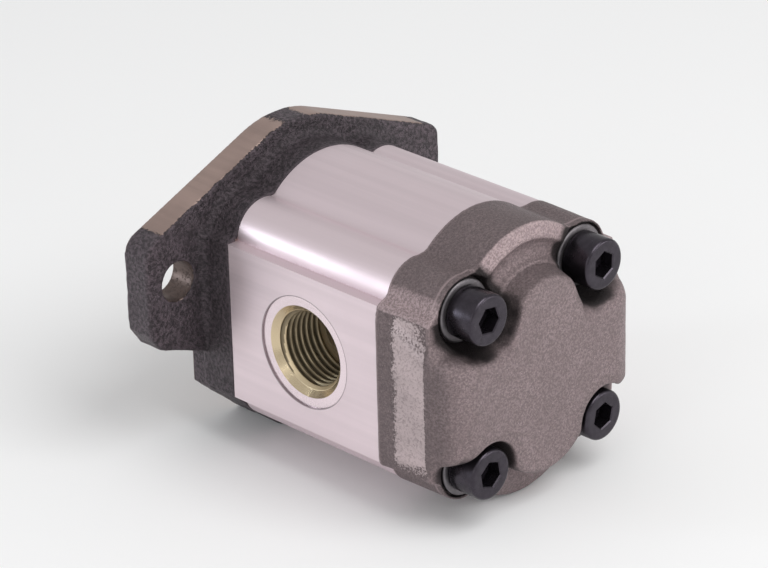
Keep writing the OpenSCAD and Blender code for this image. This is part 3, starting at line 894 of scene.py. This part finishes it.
def angle_setting(name, description, default_degrees):
    """An angle that the user sets, given here in degrees."""
    return FloatProperty(name=name, description=description, default=math.radians(default_degrees),
                         subtype="ANGLE", unit="ROTATION")


def power_setting(name, description, default):
    """The power of a light that the user sets, in watts."""
    return FloatProperty(name=name, description=description, default=default, min=0, max=400,
                         subtype="POWER", unit="POWER")


class PumpCastingSettings(bpy.types.PropertyGroup):
    """Sizes and colours of the two iron castings."""

    flange_cell: length_setting("Flange mesh size", "Spacing of the flange's mesh", 0.5, 0.4, 2)
    cover_cell: length_setting("Cover mesh size", "Spacing of the cover's mesh", 0.42, 0.38, 2)
    flange_relief: length_setting("Flange skin relief", "Height of the flange's cast lumps", 0.16, 0, 0.4)
    cover_relief: length_setting("Cover skin relief", "Height of the cover's cast lumps", 0.07, 0, 0.3)
    flange_colour: colour_setting("Flange skin", "Colour of the flange's cast skin", (0.080, 0.062, 0.072))
    cover_colour: colour_setting("Cover skin", "Colour of the blasted cover", (0.265, 0.205, 0.210))
    cut_colour: colour_setting("Cut iron", "Colour of milled iron", (0.42, 0.31, 0.275))
    ground_colour: colour_setting("Ground iron", "Colour of the cover's ground patches", (0.54, 0.445, 0.45))


class PumpBodySettings(bpy.types.PropertyGroup):
    """Sizes and colours of the aluminium body and its ports."""

    edge_break: length_setting("Edge break", "Width of the broken edges", 0.3, 0.1, 0.6)
    aluminium: colour_setting("Aluminium", "Colour of the extruded body", (0.80, 0.68, 0.715))
    gilding: colour_setting("Port gilding", "Colour of the countersinks and threads", (0.66, 0.54, 0.36))
    threads_per_inch: IntProperty(name="Inlet threads per inch", description="Thread pitch of the inlet port",
                                  default=14, min=11, max=19)
    outlet_threads_per_inch: IntProperty(name="Outlet threads per inch", default=19, min=11, max=28,
                                         description="Thread pitch of the outlet port")


class PumpFastenerSettings(bpy.types.PropertyGroup):
    """Sizes and colours of the cover screws and washers."""

    socket_width: length_setting("Socket width", "Width across the flats of the hexagon socket", 6, 5, 7)
    socket_depth: length_setting("Socket depth", "Depth of the hexagon socket", 4, 3, 4)
    head_edge: length_setting("Head edge", "Rounding of the screw head's rim", 0.8, 0.2, 1)
    thread_pitch: length_setting("Thread pitch", "Pitch of the screw thread", 1.25, 1, 1.5)
    oxide: colour_setting("Black oxide", "Colour of the screws", (0.060, 0.052, 0.064))
    washer: colour_setting("Washer steel", "Colour of the washers", (0.20, 0.185, 0.195))


class PumpStageSettings(bpy.types.PropertyGroup):
    """Camera and lights."""

    azimuth: angle_setting("Camera azimuth", "Turn of the camera about Z", 135.037)
    elevation: angle_setting("Camera elevation", "Height of the camera as an angle", 25.843)
    roll: angle_setting("Camera roll", "Turn of the camera about its own axis", -1.44)
    distance: length_setting("Camera distance", "From the point looked at", 908.08, 500, 4000)
    look_at: FloatVectorProperty(name="Look at", description="Point the camera looks at", subtype="XYZ",
                                 unit="LENGTH", default=(-0.01356, 0.02398, -0.01526))
    focal_length: FloatProperty(name="Focal length", description="In millimetres, on a sensor 36 mm wide",
                                default=168.28, min=50, max=600)
    key_power: power_setting("Key light", "Power of the large light over the pump", 9.0)
    side_power: power_setting("Side light", "Power of the light behind the inlet side", 3.6)
    fill_power: power_setting("Fill light", "Power of the light on the inlet side", 1.8)
    front_power: power_setting("Front light", "Power of the light low in front of the cover", 4.5)
    sky: FloatProperty(name="Room light", description="Brightness of the surrounding room", default=0.6,
                       min=0, max=3)


# ---------------------------------------------------------------------------
# Operators
# ---------------------------------------------------------------------------

class PumpStep(bpy.types.Operator):
    """One step of building the pump."""

    bl_options = {"REGISTER", "UNDO"}


class PUMP_OT_front_flange(PumpStep):
    """Make the dark front casting with its ears, pilot and milled edges"""

    bl_idname = "pump.front_flange"
    bl_label = "Front flange"

    def execute(self, context):
        s = context.scene.pump_castings
        iron = cast_iron("Flange iron", s.flange_colour, s.cut_colour, grain=0.42, depth=0.6, contrast=0.6,
                         wall_painted_shade=1.0, metallic=0.35)
        piece = cast_piece("flange_casting", flange_field, FLANGE_LOW, FLANGE_HIGH, s.flange_cell / MM,
                           flange_machined, flange_painted_shade, iron, "cast_iron_flange", s.flange_relief / MM)
        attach(piece, "housing")
        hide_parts("front_flange")
        return {"FINISHED"}


class PUMP_OT_rear_cover(PumpStep):
    """Make the blasted rear casting with its dome and screw recesses"""

    bl_idname = "pump.rear_cover"
    bl_label = "Rear cover"

    def execute(self, context):
        s = context.scene.pump_castings
        iron = cast_iron("Cover iron", s.cover_colour, s.ground_colour, grain=0.25, depth=0.4, contrast=0.28,
                         wall_painted_shade=0.65, metallic=0.6)
        piece = cast_piece("cover_casting", cover_field, COVER_LOW, COVER_HIGH, s.cover_cell / MM,
                           cover_machined, cover_painted_light, iron, "cast_iron_cover", s.cover_relief / MM)
        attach(piece, "housing")
        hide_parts("rear_cover")
        return {"FINISHED"}


class PUMP_OT_body(PumpStep):
    """Make the extruded aluminium body with its bores and port seats"""

    bl_idname = "pump.body"
    bl_label = "Pump body"

    def port_cutter(self, side, thread_r, face_r, gallery_r):
        """Spot face, countersink, thread bore and gallery of one port."""
        face_x = BODY_X - SPOT_FACE_DEPTH
        floor_x = BODY_X - THREAD_LEN
        profile = [(gallery_r, 4.0), (gallery_r, floor_x), (thread_r, floor_x), (thread_r, face_x - SINK),
                   (thread_r + SINK, face_x), (face_r, face_x), (face_r, BODY_X + 2)]
        points, faces = loft([ring(r, w, BORE_STEPS) for r, w in profile])
        return bare_piece("cutter", point_along_x(points, side) + [0, PORT_Y, MID_Z], faces)

    def execute(self, context):
        s = context.scene.pump_body
        metal = body_aluminium("Extruded aluminium", s.aluminium, s.gilding)
        outline = body_outline()
        count = len(outline)
        points = [(x, y, z) for y in (BODY_LOW[1], BODY_HIGH[1]) for x, z in outline]
        faces = [(k, (k + 1) % count, count + (k + 1) % count, count + k) for k in range(count)]
        faces += [tuple(reversed(range(count))), tuple(range(count, 2 * count))]
        piece = mesh_piece("body_extrusion", points, [tuple(reversed(f)) for f in faces], metal,
                           "body_aluminium")
        bores = [(0, 0, CHAMBER_R, BORE_STEPS), (0, GEAR_Z, CHAMBER_R, BORE_STEPS)]
        bores += [(x, z, CLEARANCE_R, 48) for x, z in SCREW_PLACES]
        for x, z, r, steps in bores:
            points, faces = loft([ring(r, BODY_LOW[1] - 1, steps), ring(r, BODY_HIGH[1] + 1, steps)])
            boolean_cut(piece, bare_piece("cutter", point_along_y(points) + [x, 0, z], faces))
        boolean_cut(piece, self.port_cutter(1, INLET_R, INLET_FACE_R, INLET_GALLERY_R))
        boolean_cut(piece, self.port_cutter(-1, OUTLET_R, OUTLET_FACE_R, OUTLET_GALLERY_R))
        broken_edges(piece, s.edge_break / MM)
        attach(piece, "housing")
        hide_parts("pump_body")
        return {"FINISHED"}


class PUMP_OT_port_threads(PumpStep):
    """Cut the gilded threads inside both ports"""

    bl_idname = "pump.port_threads"
    bl_label = "Port threads"

    def liner(self, name, side, major, per_inch, material):
        """The thread of one port, as a sleeve that fills its bore."""
        pitch = INCH / per_inch
        minor = major - 0.64 * pitch
        top = BODY_X - SPOT_FACE_DEPTH - SINK
        bottom = BODY_X - THREAD_LEN + 0.2
        heights = np.linspace(bottom, top, int((top - bottom) / pitch * 12) + 1)
        angle = np.arange(BORE_STEPS) * 2 * math.pi / BORE_STEPS
        rings = [ring(major + 0.03, w, BORE_STEPS) for w in (bottom, top)]
        roots = [np.ones(BORE_STEPS), -np.ones(BORE_STEPS)]
        for w in reversed(heights):
            r = thread_radius(angle, w, pitch, minor, major)
            lead_in = major - (top - w)
            roots.append(np.where(r < lead_in + 0.1, -1, (r - minor) / (major - minor)))
            rings.append(ring(np.maximum(r, lead_in), w, BORE_STEPS))
        points, faces = loft(rings, closed=True)
        points = point_along_x(points, side) + [0, PORT_Y, MID_Z]
        if side < 0:
            faces = [tuple(reversed(f)) for f in faces]
        piece = mesh_piece(name, points, faces, material, "body_aluminium")
        add_mask(piece, "root", np.concatenate(roots))
        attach(piece, "housing")

    def execute(self, context):
        s = context.scene.pump_body
        gold = threaded_gold("Gilded thread", s.gilding)
        self.liner("inlet_thread", 1, INLET_R, s.threads_per_inch, gold)
        self.liner("outlet_thread", -1, OUTLET_R, s.outlet_threads_per_inch, gold)
        return {"FINISHED"}


class PUMP_OT_screws(PumpStep):
    """Make the four socket screws and their washers"""

    bl_idname = "pump.screws"
    bl_label = "Screws and washers"

    def screw(self, settings):
        """One screw along +Z, with the underside of its head at 0."""
        head = HEAD_Y - UNDER_HEAD_Y
        length = UNDER_HEAD_Y - SCREWS_LOW[1]
        pitch = settings.thread_pitch / MM
        half = settings.socket_width / MM / 2
        depth = settings.socket_depth / MM
        edge = settings.head_edge / MM
        count = 96
        angle = np.arange(count) * 2 * math.pi / count
        thread_len, root_r, shank_r = 28.0, 3.37, 4.0
        rings = [ring(2.6, -length, count), ring(3.35, -length + 0.6, count)]
        for along in np.arange(0.8, thread_len, pitch / 5):
            r = thread_radius(angle, along, pitch, root_r, shank_r)
            rings.append(ring(np.minimum(r, 3.3 + 0.4 * along), along - length, count))
        profile = [(shank_r, thread_len + 0.4 - length), (shank_r, -0.5), (shank_r + 0.25, 0),
                   (HEAD_R - 0.35, 0), (HEAD_R, 0.35)]
        for a in np.radians(np.linspace(0, 90, 6)):
            profile.append((HEAD_R - edge + edge * math.cos(a), head - edge + edge * math.sin(a)))
        profile.append((HEAD_R - edge - 0.4, head))
        rings += [ring(r, w, count) for r, w in profile]
        floor = head - depth
        socket = [(half + 0.35, head), (half + 0.28, head), (half, head - 0.28), (half, head - 0.5),
                  (half, floor + 0.05), (half - 0.15, floor)]
        rings += [ring(r, w, count, 6) for r, w in socket]
        rings.append(ring(0.4, floor + 0.02, count))
        return loft(rings)

    def washer(self):
        """One washer along +Z, resting on 0."""
        t = UNDER_HEAD_Y - SEAT_Y
        profile = [(4.2, 0.15), (4.35, 0), (WASHER_R - 0.4, 0), (WASHER_R - 0.1, 0.1), (WASHER_R, 0.35),
                   (WASHER_R, t - 0.4), (WASHER_R - 0.12, t - 0.12), (WASHER_R - 0.45, t), (4.35, t),
                   (4.2, t - 0.15)]
        return loft([ring(r, w, 96) for r, w in profile], closed=True)

    def execute(self, context):
        s = context.scene.pump_fasteners
        oxide = plain_metal("Black oxide", s.oxide, 0.23, metallic=0.9, spread=0.2, depth=0.006)
        steel = plain_metal("Washer steel", s.washer, 0.42, spread=0.2)
        screw_points, screw_faces = self.screw(s)
        washer_points, washer_faces = self.washer()
        screws, washers = [], []
        for k, (x, z) in enumerate(SCREW_PLACES):
            turn = np.array(Matrix.Rotation(math.radians(17 + 71 * k), 3, "Z"))
            screws.append((point_along_y(screw_points @ turn.T) + [x, UNDER_HEAD_Y, z], screw_faces))
            washers.append((point_along_y(washer_points) + [x, SEAT_Y, z], washer_faces))
        piece = mesh_piece("socket_screws", *join_parts(screws), oxide, "black_oxide_steel")
        piece.data.set_sharp_from_angle(angle=math.radians(38))
        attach(piece, "housing")
        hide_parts("cover_screws")
        piece = mesh_piece("plain_washers", *join_parts(washers), steel, "washer_steel")
        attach(piece, "housing")
        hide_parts("screw_washers")
        return {"FINISHED"}


class PUMP_OT_inner_parts(PumpStep):
    """Finish the gears, shafts, blocks, bushes and seals that stay as imported"""

    bl_idname = "pump.inner_parts"
    bl_label = "Inner parts"

    def execute(self, context):
        steel = plain_metal("Ground gear steel", (0.56, 0.55, 0.55), 0.24, stretch=(1, 0.1, 1))
        bronze = plain_metal("Bush bronze", (0.58, 0.36, 0.17), 0.4, stretch=(1, 0.1, 1))
        block = plain_metal("Block aluminium", (0.66, 0.62, 0.56), 0.38)
        pressed = plain_metal("Pressed steel", (0.5, 0.5, 0.51), 0.36)
        spring = plain_metal("Phosphated steel", (0.17, 0.165, 0.16), 0.45, metallic=0.8)
        rubber = soft_part("Seal rubber", (0.018, 0.018, 0.020), 0.55)
        ptfe = soft_part("PTFE", (0.82, 0.79, 0.73), 0.4)
        by_slot = {
            "gear_steel": steel, "bush_bronze": bronze, "block_aluminium": block, "seal_steel": pressed,
            "spring_steel": spring, "seal_rubber": rubber, "backup_ptfe": ptfe,
        }
        slots = {part["node"]: part["material_slot"] for part in frame["record"]["subparts"]}
        for name, node in frame["nodes"].items():
            material = by_slot.get(slots[name])
            if material is None:
                continue
            node.data.materials.clear()
            node.data.materials.append(material)
        return {"FINISHED"}


class PUMP_OT_stage(PumpStep):
    """Set the floor, the lights and the camera"""

    bl_idname = "pump.stage"
    bl_label = "Stage"

    def light(self, name, place, size, power, colour=(1, 1, 1)):
        """One soft light that faces the pump."""
        lamp = bpy.data.lights.new(name, "AREA")
        lamp.shape = "RECTANGLE"
        lamp.size, lamp.size_y = size
        lamp.energy = power
        lamp.color = colour
        item = bpy.data.objects.new(name, lamp)
        item.location = place
        item.rotation_euler = (Vector(place) * -1).to_track_quat("-Z", "Y").to_euler()
        bpy.context.scene.collection.objects.link(item)

    def floor(self):
        """A wide pale floor under the foot."""
        material, tree, shader, vector = new_material("Pale floor")
        colour = mix_colour(tree, noise(tree, vector, 3.0), (0.90, 0.90, 0.90), (0.93, 0.93, 0.93))
        coat(tree, shader, colour, 0.9)
        half = 4000.0
        z = FLOOR_Z
        points = [(-half, -half, z), (half, -half, z), (half, half, z), (-half, half, z)]
        piece = mesh_piece("floor", points, [(0, 1, 2, 3)], material)

    def world(self, brightness):
        """An even white room."""
        world = bpy.data.worlds.new("Pale room")
        world.use_nodes = True
        background = world.node_tree.nodes["Background"]
        background.inputs["Color"].default_value = (1, 1, 1, 1)
        background.inputs["Strength"].default_value = brightness
        bpy.context.scene.world = world

    def camera(self, s):
        """The camera, placed by its angles and distance."""
        back = Vector((math.sin(s.azimuth) * math.cos(s.elevation),
                       -math.cos(s.azimuth) * math.cos(s.elevation), math.sin(s.elevation)))
        right = Vector((0, 0, 1)).cross(back).normalized()
        up = back.cross(right)
        turned_right = right * math.cos(s.roll) + up * math.sin(s.roll)
        turned_up = up * math.cos(s.roll) - right * math.sin(s.roll)
        place = Vector(s.look_at) + back * s.distance
        data = bpy.data.cameras.new("camera")
        data.lens = s.focal_length
        data.sensor_width = 36
        data.clip_end = 20
        camera = bpy.data.objects.new("camera", data)
        axes = Matrix((turned_right, turned_up, back)).transposed().to_4x4()
        camera.matrix_world = Matrix.Translation(place) @ axes
        bpy.context.scene.collection.objects.link(camera)
        bpy.context.scene.camera = camera

    def execute(self, context):
        s = context.scene.pump_stage
        self.floor()
        self.world(s.sky)
        self.light("key light", (-0.1, 0.85, 1.05), (0.9, 0.9), s.key_power)
        self.light("side light", (1.05, -0.9, 0.22), (0.25, 0.35), s.side_power, (0.86, 0.93, 1.0))
        self.light("fill light", (1.3, 0.35, 0.5), (0.8, 0.8), s.fill_power)
        self.light("front light", (-0.8, 1.2, 0.05), (0.6, 0.7), s.front_power)
        self.camera(s)
        context.scene.view_settings.view_transform = "Standard"
        return {"FINISHED"}


class PUMP_PT_sidebar(bpy.types.Panel):
    """The pump's build steps and settings"""

    bl_label = "Gear Pump"
    bl_idname = "PUMP_PT_sidebar"
    bl_space_type = "VIEW_3D"
    bl_region_type = "UI"
    bl_category = "Gear Pump"

    def draw(self, context):
        for step in STEPS:
            self.layout.operator(step.bl_idname)
        for name in SETTINGS:
            group = getattr(context.scene, name)
            box = self.layout.box()
            for label in group.bl_rna.properties.keys():
                if label not in ("rna_type", "name"):
                    box.prop(group, label)


STEPS = (PUMP_OT_stage, PUMP_OT_front_flange, PUMP_OT_rear_cover, PUMP_OT_body, PUMP_OT_port_threads,
         PUMP_OT_screws, PUMP_OT_inner_parts)
SETTINGS = {
    "pump_castings": PumpCastingSettings,
    "pump_body": PumpBodySettings,
    "pump_fasteners": PumpFastenerSettings,
    "pump_stage": PumpStageSettings,
}


def register():
    """Adds the settings, steps and panel to Blender."""
    for group in SETTINGS.values():
        bpy.utils.register_class(group)
    for name, group in SETTINGS.items():
        setattr(bpy.types.Scene, name, PointerProperty(type=group))
    for step in STEPS:
        bpy.utils.register_class(step)
    bpy.utils.register_class(PUMP_PT_sidebar)


def unregister():
    """Takes them out again."""
    bpy.utils.unregister_class(PUMP_PT_sidebar)
    for step in reversed(STEPS):
        bpy.utils.unregister_class(step)
    for name, group in SETTINGS.items():
        delattr(bpy.types.Scene, name)
        bpy.utils.unregister_class(group)


def main():
    """Builds the stage and every piece."""
    register()
    bpy.ops.pump.stage()
    bpy.ops.pump.front_flange()
    bpy.ops.pump.rear_cover()
    bpy.ops.pump.body()
    bpy.ops.pump.port_threads()
    bpy.ops.pump.screws()
    bpy.ops.pump.inner_parts()


if __name__ == "__main__":
    main()
